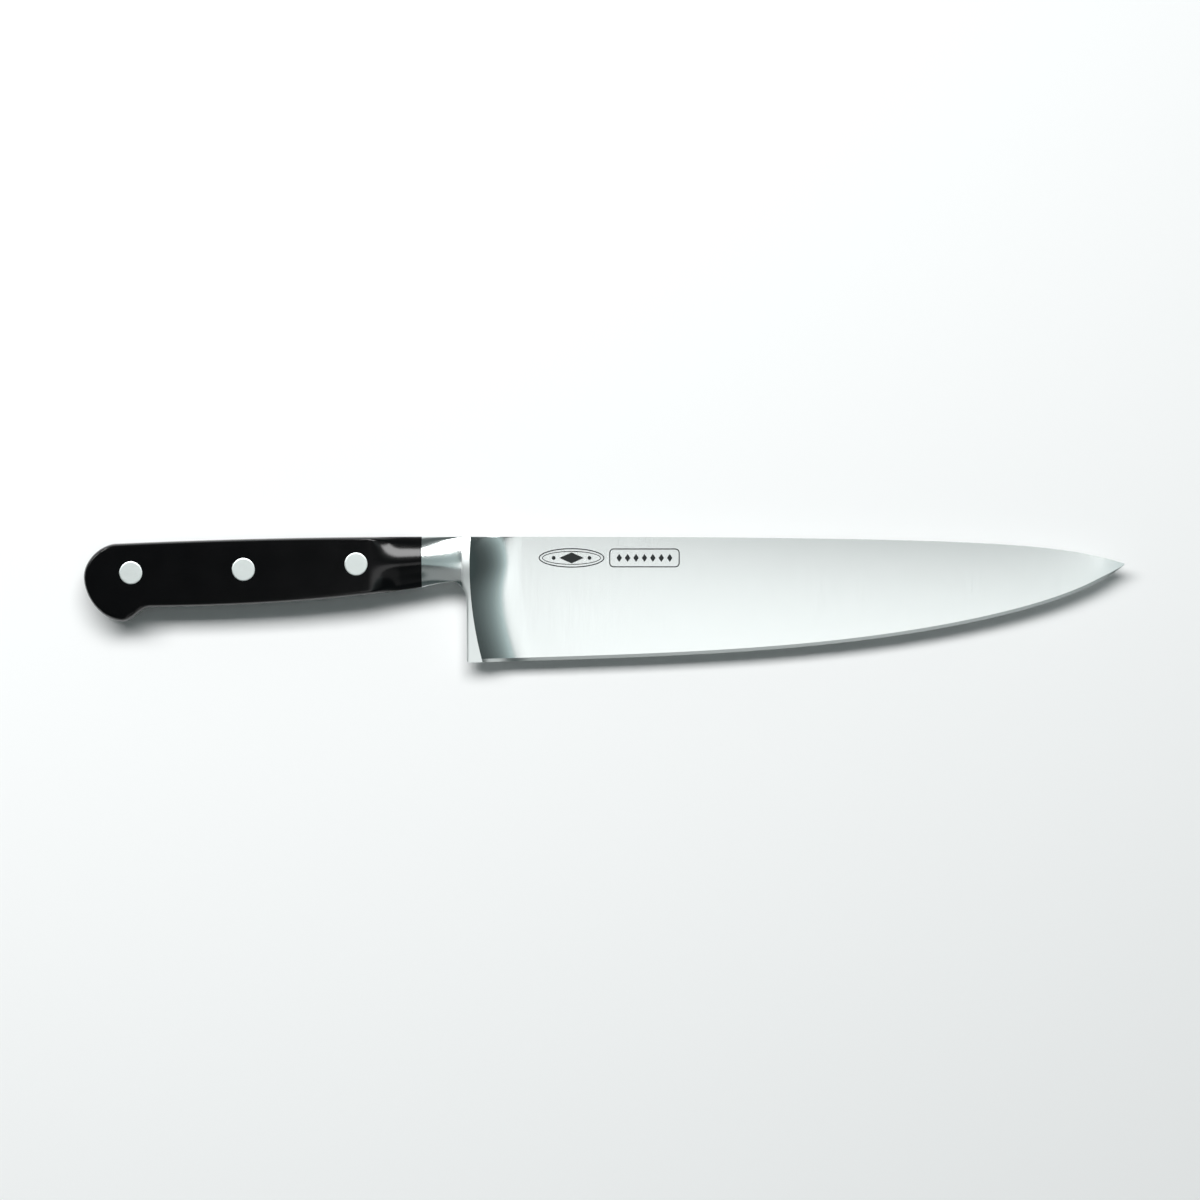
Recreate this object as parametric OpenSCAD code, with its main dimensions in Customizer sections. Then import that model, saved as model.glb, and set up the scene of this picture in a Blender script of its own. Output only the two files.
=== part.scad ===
// Chef's knife. One forging makes the blade, the bolster with its full heel guard, and the
// full tang. Two scales cover the tang, and three two-part rivets clamp them to it.
// The knife lies on its left side: +X points to the tip, +Y to the spine, and +Z is the
// thickness. The origin lies under the middle of the whole knife.

/* [Blade] */
// Length of the blade from the heel to the point
blade_len = 250; // [180:1:320]
// Depth of the blade at the heel
blade_depth = 47.8; // [40:0.1:62]
// How far the point lies below the straight part of the spine
point_drop = 10.2; // [4:0.1:16]
// Height of the blunted point
point_h = 0.5; // [0.3:0.1:1]
// Thickness of the spine at the heel
spine_t = 3.2; // [2:0.1:4.5]
// Thickness of the spine at the point
point_t = 0.7; // [0.6:0.1:1.6]
// Thickness of the blade at the top of the edge bevel
shoulder_t = 0.36; // [0.2:0.02:0.8]
// Width of the edge bevel
bevel_w = 1.25; // [0.5:0.05:2]
// Thickness left at the cutting edge
edge_t = 0.08; // [0.05:0.01:0.2]

/* [Bolster and heel guard] */
// Length of the bolster from the scales to the heel
bolster_len = 17; // [12:0.5:26]
// Depth of the bolster where it meets the scales
joint_depth = 19.2; // [17.5:0.1:26]
// Depth of the neck at its narrowest
neck_depth = 17; // [14:0.1:17.4]
// Length of the rounded corner between the neck and the back of the heel
choil_w = 5.7; // [4:0.1:9]
// Height of the same rounded corner
choil_h = 8; // [5:0.1:12]
// How far the bolster's crown lies below the flats of the scales
joint_step = 0.2; // [0:0.05:0.5]
// Thickness across the bolster at the ridge where the blade is ground away
ridge_t = 11.2; // [9:0.1:15]
// Thickness of the heel guard at its lower end
heel_t = 7.2; // [3:0.1:10]
// Width of the heel guard at its lower end
guard_w = 6; // [4:0.1:9]
// Width of the ridge ahead of the heel line at its narrowest
ridge_w = 1.1; // [0.8:0.1:2.5]
// Radius of the heel's lower corner
heel_r = 1; // [0.5:0.1:2]
// Length of the hollow that runs from the ridge down to the flank
grind_len = 20; // [12:0.5:30]

/* [Handle] */
// Length of the scales
scale_len = 128.2; // [105:0.1:160]
// Thickness of the handle across the flats of the scales
handle_t = 17; // [14:0.1:21]
// Thickness of the tang
tang_t = 3.2; // [2:0.1:4.5]
// Thickness of the straight rim round the scales and the tang
rim_t = 9; // [6:0.1:10]
// Width of the rounded border of the scales, seen from the side
border_w = 1.2; // [1:0.1:5]
// How far the back of the handle falls towards the butt
back_fall = 3.2; // [1:0.1:5]
// Depth of the handle's belly below the spine line
belly_depth = 26.9; // [24:0.1:32]
// How far the hook hangs below the belly
hook_h = 5.3; // [2:0.1:8]
// Length of the hook's front flank
hook_w = 10.5; // [5:0.1:12]
// Distance from the end of the butt to the tip of the hook
hook_back = 14.8; // [12:0.1:17]
// Length of the rounding at the top of the butt
butt_w = 12.2; // [9:0.1:15]

/* [Rivets] */
// Distance from the bolster to the front rivet
rivet_front = 24.8; // [22:0.1:32]
// Distance from the end of the butt to the rear rivet
rivet_rear = 18.1; // [16:0.1:24]
// How far the rivets lie above the middle of the scales
rivet_rise = 0.9; // [0:0.1:2]
// Diameter of the rivet heads
head_d = 8.6; // [7:0.1:11]
// Thickness of the rivet heads
head_h = 2; // [1.2:0.1:3]
// Outside diameter of the sleeves
sleeve_d = 5; // [4.4:0.1:6]
// Diameter of the posts that are pressed into the sleeves
post_d = 3.2; // [2.4:0.1:3.6]

/* [Clearances] */
// Gap all round a head in its counterbore
head_gap = 0.05; // [0.02:0.01:0.2]
// Gap all round a sleeve in the scales and the tang
sleeve_gap = 0.1; // [0.05:0.01:0.3]
// Gap all round a post in its sleeve
post_gap = 0.02; // [0.01:0.01:0.05]
// Gap between the end of a post or a sleeve and what it points at
end_gap = 0.8; // [0.3:0.1:1.5]
// Gap between the front ends of the scales and the bolster
joint_gap = 0.05; // [0.02:0.01:0.2]

/* [Hidden] */
rivet_places = ["front", "middle", "rear"];

steel = [0.80, 0.82, 0.82];
black_plastic = [0.05, 0.05, 0.055];
rivet_metal = [0.86, 0.89, 0.88];

// Places along the knife are measured from the back of the heel, along the spine line, and
// thicknesses from the middle plane.
joint_x = -bolster_len;
butt_x = joint_x - scale_len;
half_handle = handle_t / 2;
half_tang = tang_t / 2;
joint_half = half_handle - joint_step;
ridge_half = ridge_t / 2;
heel_half = heel_t / 2;
rim_half = rim_t / 2;
crown_y = -joint_depth / 2;
overcut = 1;

function mix(a, b, share) = a + (b - a) * share;
function clamp01(v) = min(1, max(0, v));
function soft(v) = let (s = clamp01(v)) s * s * (3 - 2 * s);
// How far a rounded border of width w and height h has fallen at distance d from its rim
function border_fall(d, w, h) = h * (1 - sqrt(1 - pow(1 - clamp01(d / w), 2)));

// ---- Outline of the blade ----
// Shares of the fall and the rise that come as a long sweep, and powers that set where the
// rest of it comes
spine_sweep = 0.43;
spine_powers = [3, 12];
belly_slope = 0.195;
belly_sweep = 0.665;
belly_powers = [3.5, 20];

function spine_y(x) =
    let (u = clamp01(x / blade_len))
    -point_drop * mix(pow(u, spine_powers[1]), pow(u, spine_powers[0]), spine_sweep);

function belly_y(x) =
    let (u = clamp01(x / blade_len))
    let (rest = 1 - belly_slope - belly_sweep)
    -blade_depth + (blade_depth - point_drop - point_h)
        * (belly_slope * u + belly_sweep * pow(u, belly_powers[0]) + rest * pow(u, belly_powers[1]));

// The cutting edge is the belly line with the heel's corner rounded off
function edge_y(x) = belly_y(x) + border_fall(x, heel_r, heel_r);

// Underside of the neck, with the rounded corner that runs down into the back of the heel
neck_power = 1.4;
choil_y = -neck_depth - choil_h;

function neck_y(x) =
    x < -choil_w
    ? -mix(neck_depth, joint_depth, pow((-choil_w - x) / (bolster_len - choil_w), neck_power))
    : choil_y + choil_h * sqrt(1 - pow(clamp01(1 + x / choil_w), 2));

// The ridge bows away from the heel line, most of all at the heel guard's lower end
ridge_y = -11;
function ridge_x(y) = mix(ridge_w, guard_w, pow((y - ridge_y) / (blade_depth + ridge_y), 2));

// ---- Thickness of the forging ----
// How far the crown falls to the rims at the scales, and how wide the rounded rims are there
crown_fall = 3;
joint_border_w = 2.5;
joint_border_h = joint_half - crown_fall - rim_half;
// The same at the ridge, where the border only breaks the edges
ridge_border_w = 0.4;
ridge_border_h = 0.06;
choil_border_w = 1.2;
choil_border_h = 0.8;
// The lower half of the section falls quickly below the crown and then runs on as a wedge
wedge_share = 0.885;
// Length of the level lip behind the ridge
lip_len = 1.5;
// The bolster falls away from the scales at once and eases into the lip
taper_power = 1.15;

// Share of the crown's fall at a distance from the crown, in half depths of the section
function fall_above(v) = v * v;
function fall_below(v) = v * v * (1 + pow(wedge_share, 2)) / (v * v + pow(wedge_share, 2));
heel_fall = (ridge_half - heel_half) / fall_below((blade_depth + crown_y) / -crown_y);

// Half the thickness of the bolster and the heel guard
function bolster_half(x, y) =
    let (share = 1 - pow(1 - clamp01((x - joint_x) / (bolster_len - lip_len)), taper_power))
    let (v = (y - crown_y) / -crown_y)
    let (fall = mix(crown_fall, heel_fall, share) * (v > 0 ? fall_above(v) : fall_below(-v)))
    let (border_h = mix(joint_border_h, ridge_border_h, share))
    let (along = max(0, x + choil_w) / choil_w)
    let (neck_line = x < -choil_w ? neck_y(x) + neck_depth : 0)
    let (up = max(0, y - neck_line - choil_y) / choil_h)
    let (turn = along / (along + up + 0.001))
    let (inset = (norm([along, up]) - 1) * mix(choil_h, choil_w, turn))
    mix(joint_half, ridge_half, share) - fall
        - border_fall(-y, mix(joint_border_w, ridge_border_w, share), border_h)
        - border_fall(inset, mix(joint_border_w, choil_border_w, turn),
                      mix(border_h, choil_border_h, turn));

// Half the thickness of the ground blade, wedge-shaped from the spine to the bevel. Close to
// the point the spine is ground down, so that the wedge grows no steeper than this slope.
tip_wedge = 0.03;
function flank_half(x, y, shoulder_y) =
    let (depth = spine_y(x) - shoulder_y)
    let (full_half = mix(spine_t, point_t, x / blade_len) / 2)
    let (top_half = min(full_half, shoulder_t / 2 + tip_wedge * depth))
    mix(top_half, shoulder_t / 2, clamp01((spine_y(x) - y) / depth));

// ---- Grid over one side of the forging ----
// Rows run from the spine down to the corner at the choil, and on to the edge
neck_rows = 16;
guard_rows = 7;
last_row = neck_rows + guard_rows + 1;
// The edge row thins quickly ahead of the guard, so that the edge is sharp close to it
hollow_power = 2;
edge_power = 8;
// Each column is a share of the ridge's own place plus a fixed length
neck_cols = [for (i = [0:4]) [0, mix(joint_x, -choil_w, i / 4)]];
choil_cols = [for (a = [15:15:90]) [0, choil_w * (sin(a) - 1)]];
guard_cols = [for (i = [0:3]) [mix(heel_r / guard_w, 1, i / 3), 0]];
hollow_cols = [for (i = [1:8]) let (p = i / 8 * grind_len / blade_len) [1 - p, p * blade_len]];
flank_cols = [for (i = [1:20])
    let (p = mix(1, grind_len / blade_len, pow(1 - i / 20, 1.6))) [1 - p, p * blade_len]];
cols = concat(neck_cols, choil_cols, guard_cols, hollow_cols, flank_cols);
heel_col = len(neck_cols) + len(choil_cols) - 1;
last_col = len(cols) - 1;

bevel_limit = 0.3;
function split_y(x) = x <= 0 ? neck_y(x) : mix(spine_y(x), belly_y(x), -choil_y / blade_depth);
function shoulder_y(x) = edge_y(x) + min(bevel_w, bevel_limit * (split_y(x) - edge_y(x)));
function row_y(x, row) =
    row <= neck_rows ? mix(spine_y(x), split_y(x), (1 - cos(180 * row / neck_rows)) / 2)
    : row < last_row ? mix(split_y(x), shoulder_y(x), (row - neck_rows) / guard_rows)
    : edge_y(x);

// One grid point on the side that faces +Z
function side_point(col, row) =
    let (first_y = row_y(col[0] * ridge_w + col[1], row))
    let (ridge = ridge_x(first_y))
    let (x = col[0] * ridge + col[1])
    let (y = row_y(x, row))
    let (left = 1 - clamp01((x - ridge) / grind_len))
    let (ground = row == last_row ? edge_t / 2 : flank_half(x, y, shoulder_y(x)))
    let (power = row == last_row ? edge_power : hollow_power)
    [x, y, x <= ridge + 0.0001 ? bolster_half(x, y)
                               : mix(ground, bolster_half(ridge, y), pow(left, power))];

forging_points = [for (side = [1, -1], col = cols, row = [0:last_row])
    let (p = side_point(col, row)) [p[0], p[1], side * p[2]]];

// A four-cornered face as two triangles
function quad(a, b, c, d) = [[a, b, c], [a, c, d]];
function front(col, row) = col * (last_row + 1) + row;
function back(col, row) = front(col, row) + len(cols) * (last_row + 1);
// First and last row of a column: the neck ends above the heel
function end_row(col) = col < heel_col ? neck_rows : last_row;

forging_faces = concat(
    [for (c = [0:last_col - 1], r = [0:end_row(c) - 1])
        each quad(front(c, r), front(c + 1, r), front(c + 1, r + 1), front(c, r + 1))],
    [for (c = [0:last_col - 1], r = [0:end_row(c) - 1])
        each quad(back(c, r), back(c, r + 1), back(c + 1, r + 1), back(c + 1, r))],
    [for (c = [0:last_col - 1])
        each quad(front(c, 0), back(c, 0), back(c + 1, 0), front(c + 1, 0))],
    [for (c = [0:last_col - 1]) let (r = end_row(c))
        each quad(front(c, r), front(c + 1, r), back(c + 1, r), back(c, r))],
    [for (r = [neck_rows:last_row - 1])
        each quad(front(heel_col, r), front(heel_col, r + 1),
                  back(heel_col, r + 1), back(heel_col, r))],
    [for (r = [0:neck_rows - 1])
        each quad(front(0, r), front(0, r + 1), back(0, r + 1), back(0, r))],
    [for (r = [0:last_row - 1])
        each quad(front(last_col, r), back(last_col, r),
                  back(last_col, r + 1), front(last_col, r + 1))]);

// ---- Outline of the handle ----
belly_power = 2.6;
function handle_share(x) = clamp01((joint_x - x) / scale_len);
function plain_back_y(x) = -back_fall * pow(handle_share(x), 2);
function plain_belly_y(x) = -mix(belly_depth, joint_depth, pow(1 - handle_share(x), belly_power));
function middle_y(x) = (plain_back_y(x) + plain_belly_y(x)) / 2;

// The hook swells out of the belly along half a cosine wave
hook_x = butt_x + hook_back;
function hook_turn(x) = 180 * clamp01((x - hook_x) / hook_w);
function hook_slope(x) = hook_h / 2 * sin(hook_turn(x)) * PI / hook_w;
function hooked_belly_y(x) = plain_belly_y(x) - hook_h * (1 + cos(hook_turn(x))) / 2;

// How far a place lies into the butt's rounding of a given length: 0 ahead of it, 1 at its end
function into_butt(x, length) = clamp01((butt_x + length - x) / length);
function half_depth(x, upper) = upper ? plain_back_y(x) - middle_y(x) : middle_y(x) - hooked_belly_y(x);

// The butt's rounding is a little straighter than an ellipse. Two shares combine as the
// sides of its rounding do.
butt_power = 1.85;
function rounding(e) = pow(1 - pow(e, butt_power), 1 / butt_power);
function out_share(e, v) = rounding(rounding(e) * rounding(v));

// The height of a point of the outline's fan: v is 1 on the back, 0 in the middle and -1 on
// the belly
function fan_y(x, v) =
    let (e = into_butt(x, v > 0 ? butt_w : hook_back))
    middle_y(x) + v * half_depth(x, v > 0) * rounding(e);

// Its distance from the outline
function fan_inset(x, v) =
    let (e = into_butt(x, v > 0 ? butt_w : hook_back))
    let (lean = v > 0 ? 0 : hook_slope(x))
    half_depth(x, v > 0) * (1 - out_share(e, abs(v))) / norm([1, lean]);

// ---- Scales ----
// The scales turn from flat sides to the bolster's oval between the front rivet and here
oval_back_x = joint_x - rivet_front + head_d / 2 + 0.2;
oval_front_x = joint_x - 8;
// The flats are cut from a blank that stands this much proud of them
flat_allowance = 0.05;

function scale_half(x, v) =
    let (oval = soft((x - oval_back_x) / (oval_front_x - oval_back_x)))
    let (fall = crown_fall * (v > 0 ? fall_above(v) : fall_below(-v)))
    let (blank_half = half_handle + flat_allowance)
    let (border_h = mix(blank_half - rim_half, joint_border_h, oval))
    mix(blank_half, joint_half - fall, oval)
        - border_fall(fan_inset(x, v), mix(border_w, joint_border_w, oval), border_h);

front_end_x = joint_x - joint_gap;
// Stations along the handle, closest where the outline or the section turns fastest
butt_stations = [for (a = [0:7.5:90]) butt_x + hook_back * (1 - cos(a))];
hook_stations = [for (i = [1:10]) hook_x + hook_w * i / 10];
hook_end_x = hook_x + hook_w;
grip_stations = [for (i = [1:14]) mix(hook_end_x, oval_back_x, i / 14)];
oval_stations = [for (i = [1:12]) mix(oval_back_x, oval_front_x, i / 12)];
end_stations = [for (i = [1:3]) mix(oval_front_x, front_end_x, i / 3)];
stations = concat(butt_stations, hook_stations, grip_stations, oval_stations, end_stations);
last_station = len(stations) - 1;

fan_rows = 20;
function fan_v(row) = cos(180 * row / fan_rows);
fan_size = fan_rows + 3;
// Each station has its row of side points, and then the back and the belly of the flat inner face
scale_points = [for (x = stations)
    each concat([for (row = [0:fan_rows]) [x, fan_y(x, fan_v(row)), scale_half(x, fan_v(row))]],
                [for (v = [1, -1]) [x, fan_y(x, v), half_tang]])];
function skin(station, row) = station * fan_size + row;
function inner_back(station) = skin(station, fan_rows + 1);
function inner_belly(station) = skin(station, fan_rows + 2);

scale_faces = concat(
    [for (s = [0:last_station - 1], r = [0:fan_rows - 1])
        each quad(skin(s, r), skin(s + 1, r), skin(s + 1, r + 1), skin(s, r + 1))],
    [for (s = [0:last_station - 1])
        each quad(skin(s, 0), inner_back(s), inner_back(s + 1), skin(s + 1, 0))],
    [for (s = [0:last_station - 1])
        each quad(skin(s, fan_rows), skin(s + 1, fan_rows), inner_belly(s + 1), inner_belly(s))],
    [for (s = [0:last_station - 1])
        each quad(inner_back(s), inner_belly(s), inner_belly(s + 1), inner_back(s + 1))],
    [[each [for (r = [0:fan_rows]) skin(last_station, fan_rows - r)],
      inner_back(last_station), inner_belly(last_station)]]);

// ---- Rivets ----
rivet_xs = [joint_x - rivet_front,
            (joint_x - rivet_front + butt_x + rivet_rear) / 2,
            butt_x + rivet_rear];
sleeve_end = -half_handle + head_h + end_gap;
post_end = half_handle - head_h - end_gap;

module at_rivets() {
    for (x = rivet_xs) {
        translate([x, middle_y(x) + rivet_rise, 0]) children();
    }
}

module round_bar(d, low, high) {
    translate([0, 0, low]) cylinder(d = d, h = high - low, $fn = 64);
}

// From the knife's own measuring point to the place under its middle
module placed() {
    translate([-(blade_len + butt_x) / 2, blade_depth / 2, half_handle]) children();
}

// Root of the tang inside the bolster, where it starts narrower than the handle
root_len = 3;
root_inset = 2;

module tang() {
    back_line = [for (x = stations) if (x > butt_x) [x, fan_y(x, 1)]];
    belly_line = [for (i = [0:last_station]) let (x = stations[last_station - i]) [x, fan_y(x, -1)]];
    root = [[joint_x, 0], [joint_x + root_len, -root_inset],
            [joint_x + root_len, neck_y(joint_x + root_len) + root_inset], [joint_x, -joint_depth]];
    translate([0, 0, -half_tang]) linear_extrude(tang_t) polygon(concat(back_line, root, belly_line));
}

module blade() {
    color(steel) placed() difference() {
        union() {
            polyhedron(points = forging_points, faces = forging_faces, convexity = 6);
            tang();
        }
        at_rivets() round_bar(sleeve_d + 2 * sleeve_gap, -half_tang - overcut, half_tang + overcut);
    }
}

// The right-hand scale, on the side that faces +Z
module scale_body() {
    difference() {
        intersection() {
            polyhedron(points = scale_points, faces = scale_faces, convexity = 6);
            translate([butt_x - overcut, -blade_depth, 0])
                cube([scale_len + 2 * overcut, 2 * blade_depth, half_handle]);
        }
        at_rivets() round_bar(sleeve_d + 2 * sleeve_gap, 0, half_handle);
        at_rivets() round_bar(head_d + 2 * head_gap, half_handle - head_h, half_handle + overcut);
    }
}

module right_scale() {
    color(black_plastic) placed() scale_body();
}

module left_scale() {
    color(black_plastic) placed() mirror([0, 0, 1]) scale_body();
}

// A post with its head in the left scale
module rivet_post(x) {
    color(rivet_metal) placed() translate([x, middle_y(x) + rivet_rise, 0]) union() {
        round_bar(head_d, -half_handle, -half_handle + head_h);
        round_bar(post_d, -half_handle + head_h / 2, post_end);
    }
}

// A sleeve with its head in the right scale, bored for the post
module rivet_sleeve(x) {
    color(rivet_metal) placed() translate([x, middle_y(x) + rivet_rise, 0]) difference() {
        union() {
            round_bar(head_d, half_handle - head_h, half_handle);
            round_bar(sleeve_d, sleeve_end, half_handle - head_h / 2);
        }
        round_bar(post_d + 2 * post_gap, sleeve_end - overcut, half_handle - head_h);
    }
}

blade();
left_scale();
right_scale();
for (i = [0:2]) {
    rivet_post(rivet_xs[i]);
    rivet_sleeve(rivet_xs[i]);
}
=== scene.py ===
# %% [markdown]
# # A forged chef's knife
#
# This notebook builds the looks of a chef's knife: one steel forging that makes the blade, the
# bolster, the heel guard and the tang, two black handle scales, and three two-part rivets. The
# CAD model holds the sizes and the places. Each piece here is made again as a finer mesh on the
# same formulas, so that polished steel has smooth reflections.

# %% Load the frame
import math

import bmesh
import bpy
from mathutils import Matrix, Quaternion, Vector


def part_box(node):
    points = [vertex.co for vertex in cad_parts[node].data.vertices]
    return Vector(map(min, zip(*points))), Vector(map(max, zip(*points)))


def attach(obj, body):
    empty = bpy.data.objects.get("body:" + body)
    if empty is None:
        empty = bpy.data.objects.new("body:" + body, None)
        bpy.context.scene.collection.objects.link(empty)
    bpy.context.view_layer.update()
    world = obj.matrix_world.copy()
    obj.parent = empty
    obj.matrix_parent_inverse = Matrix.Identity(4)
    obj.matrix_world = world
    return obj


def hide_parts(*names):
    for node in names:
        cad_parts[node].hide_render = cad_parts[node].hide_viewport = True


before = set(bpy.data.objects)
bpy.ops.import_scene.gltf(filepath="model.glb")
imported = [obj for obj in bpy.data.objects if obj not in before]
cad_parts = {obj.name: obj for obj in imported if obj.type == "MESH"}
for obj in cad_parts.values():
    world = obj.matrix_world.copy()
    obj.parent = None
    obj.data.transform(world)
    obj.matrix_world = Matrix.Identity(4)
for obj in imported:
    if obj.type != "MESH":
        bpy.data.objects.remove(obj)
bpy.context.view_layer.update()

# %% [markdown]
# ## Measures
#
# The knife is easiest to describe in millimetres from the back of its heel: x runs along the
# spine to the point, y from the edge up to the spine line, and z out of the middle plane. What
# the frame can tell is read from it: where the butt and the point are, how thick the handle and
# the tang are, and where the rivets sit.

# %% Read the measures from the frame
MM = 0.001
BLADE_LEN = 250
JOINT_GAP = 0.05

blade_low, blade_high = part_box("blade")
left_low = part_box("left_scale")[0]
right_low, right_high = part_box("right_scale")
heel = Vector((blade_high.x - BLADE_LEN * MM, blade_high.y, (left_low.z + right_high.z) / 2))


def to_mm(length):
    """A length in metres as millimetres, rounded to a thousandth."""
    return round(length / MM, 3)


BUTT_X = to_mm(blade_low.x - heel.x)
JOINT_X = to_mm(right_high.x - heel.x) + JOINT_GAP
BLADE_DEPTH = 47.8
HALF_HANDLE = to_mm(right_high.z - heel.z)
HALF_TANG = to_mm(right_low.z - heel.z)
print("butt", BUTT_X, "joint", JOINT_X, "half handle", HALF_HANDLE, "half tang", HALF_TANG)

# %% [markdown]
# ## The camera
#
# A knife's catalogue view looks straight down on its side. A long lens from far away keeps the
# outline free of perspective, so the far end of the blade isn't drawn smaller than the handle.

# %% Place the camera
FRAME_WIDTH = 456.4 * MM
LENS, SENSOR = 150, 36
AIM = Vector((heel.x + 50.6 * MM, heel.y - 24.0 * MM, heel.z))

camera = bpy.data.objects.new("camera", bpy.data.cameras.new("camera"))
camera.data.lens, camera.data.sensor_width = LENS, SENSOR
camera_height = FRAME_WIDTH * LENS / SENSOR
camera.location = AIM + Vector((0, 0, camera_height))
bpy.context.scene.collection.objects.link(camera)
bpy.context.scene.camera = camera
print("camera height", round(camera_height, 3), "m")

# %% [markdown]
# ## Small helpers
#
# Colours are written as sRGB hex, as a paint chart gives them, and turned to the linear values
# that the shader works in. One function adds a node to a material with its settings and links.


# %% Helpers for colours and nodes
def linear(hex_colour):
    """An sRGB hex colour such as #d9dcdc as linear RGBA."""
    parts = [int(hex_colour[i:i + 2], 16) / 255 for i in (1, 3, 5)]
    return tuple(c / 12.92 if c <= 0.04045 else ((c + 0.055) / 1.055) ** 2.4 for c in parts) + (1,)


def add_node(tree, kind, settings=None, inputs=None, links=None):
    """Adds a node, sets its properties and inputs, and links inputs to other nodes' outputs."""
    node = tree.nodes.new(kind)
    for name, value in (settings or {}).items():
        setattr(node, name, value)
    for name, value in (inputs or {}).items():
        node.inputs[name].default_value = value
    for name, output in (links or {}).items():
        tree.links.new(output, node.inputs[name])
    return node


def new_material(name):
    """A material with an empty Principled shader, and that shader."""
    material = bpy.data.materials.new(name)
    material.use_nodes = True
    return material, material.node_tree.nodes["Principled BSDF"]


print("middle grey is", round(linear("#808080")[0], 3), "in linear light")

# %% [markdown]
# ## The shape of the forging
#
# The maker starts from one bar. The outline is a few smooth curves, so each is a short formula
# here: the spine stays level and then falls to the point, and the belly rises in one long sweep.
# Both are sums of powers: a low power bends all along the blade, and a high one only near the
# point. A border formula rounds every rim the same way, as a quarter of an ellipse.

# %% Curves and borders
POINT_DROP, POINT_H = 10.2, 0.5
HEEL_R = 1.0
NECK_DEPTH, JOINT_DEPTH = 17.0, 19.2
CHOIL_W, CHOIL_H = 5.7, 8.0
CHOIL_Y = -NECK_DEPTH - CHOIL_H
NECK_POWER = 1.4
# Pairs of a factor and a power of the share along the blade
SPINE_CURVE = ((0.57, 12), (0.43, 3))
BELLY_CURVE = ((0.195, 1), (0.665, 3.5), (0.14, 20))


def mix(a, b, share):
    return a + (b - a) * share


def clamp01(value):
    return min(1.0, max(0.0, value))


def soft(value):
    s = clamp01(value)
    return s * s * (3 - 2 * s)


def border_fall(distance, width, height):
    """How far a rounded border has fallen at a distance from its rim."""
    return height * (1 - math.sqrt(1 - (1 - clamp01(distance / width)) ** 2))


def along_blade(x, curve):
    """A smooth way from 0 at the heel to 1 at the point: a sum of powers."""
    return sum(factor * clamp01(x / BLADE_LEN) ** power for factor, power in curve)


def spine_y(x):
    return -POINT_DROP * along_blade(x, SPINE_CURVE)


def belly_y(x):
    return -BLADE_DEPTH + (BLADE_DEPTH - POINT_DROP - POINT_H) * along_blade(x, BELLY_CURVE)


def edge_y(x):
    """The belly line, with the heel's lower corner rounded off."""
    return belly_y(x) + border_fall(x, HEEL_R, HEEL_R)


def neck_y(x):
    """The underside of the neck, with the rounded corner down into the back of the heel."""
    if x < -CHOIL_W:
        back = (-CHOIL_W - x) / (-JOINT_X - CHOIL_W)
        return -mix(NECK_DEPTH, JOINT_DEPTH, back ** NECK_POWER)
    return CHOIL_Y + CHOIL_H * math.sqrt(1 - clamp01(1 + x / CHOIL_W) ** 2)


print("blade depth at the middle", round(spine_y(125) - belly_y(125), 1), "mm")

# %% [markdown]
# ## How thick the steel is
#
# The bolster is an oval that narrows towards the blade and ends in a level lip. Below the neck
# it runs on as a wedge, the heel guard. Ahead of the ridge the grinder's wheel leaves a hollow,
# which runs out into the flank. The flank tapers from the spine to the bevel and from the heel
# to the point. Close to the point little depth is left, so there the spine is thinned further
# and both sides keep one wedge angle.

# %% Thickness of the bolster and of the blade
CROWN_Y = -JOINT_DEPTH / 2
CROWN_FALL = 3.0
RIM_HALF = 4.5
JOINT_HALF = HALF_HANDLE - 0.2
JOINT_BORDER_W = 2.5
JOINT_BORDER_H = JOINT_HALF - CROWN_FALL - RIM_HALF
RIDGE_HALF, RIDGE_W, RIDGE_Y = 5.6, 1.1, -11.0
RIDGE_BORDER_W, RIDGE_BORDER_H = 0.4, 0.06
GUARD_W, HEEL_HALF = 6.0, 3.6
CHOIL_BORDER_W, CHOIL_BORDER_H = 1.2, 0.8
GRIND_LEN = 20.0
LIP_LEN = 1.5
TAPER_POWER = 1.15
HOLLOW_POWER, EDGE_POWER = 2, 8
WEDGE_SHARE = 0.885
SPINE_HALF, POINT_HALF, SHOULDER_HALF, EDGE_HALF = 1.6, 0.35, 0.18, 0.04
BEVEL_W, BEVEL_SHARE = 1.25, 0.3
TIP_WEDGE = 0.03
NEVER_ZERO = 0.001


def fall_below(v):
    """Share of the crown's fall below the crown: quick at first, and then a long wedge."""
    return v * v * (1 + WEDGE_SHARE ** 2) / (v * v + WEDGE_SHARE ** 2)


HEEL_FALL = (RIDGE_HALF - HEEL_HALF) / fall_below((BLADE_DEPTH + CROWN_Y) / -CROWN_Y)


def ridge_x(y):
    """The ridge bows away from the heel line, most of all at the guard's lower end."""
    return mix(RIDGE_W, GUARD_W, ((y - RIDGE_Y) / (BLADE_DEPTH + RIDGE_Y)) ** 2)


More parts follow.
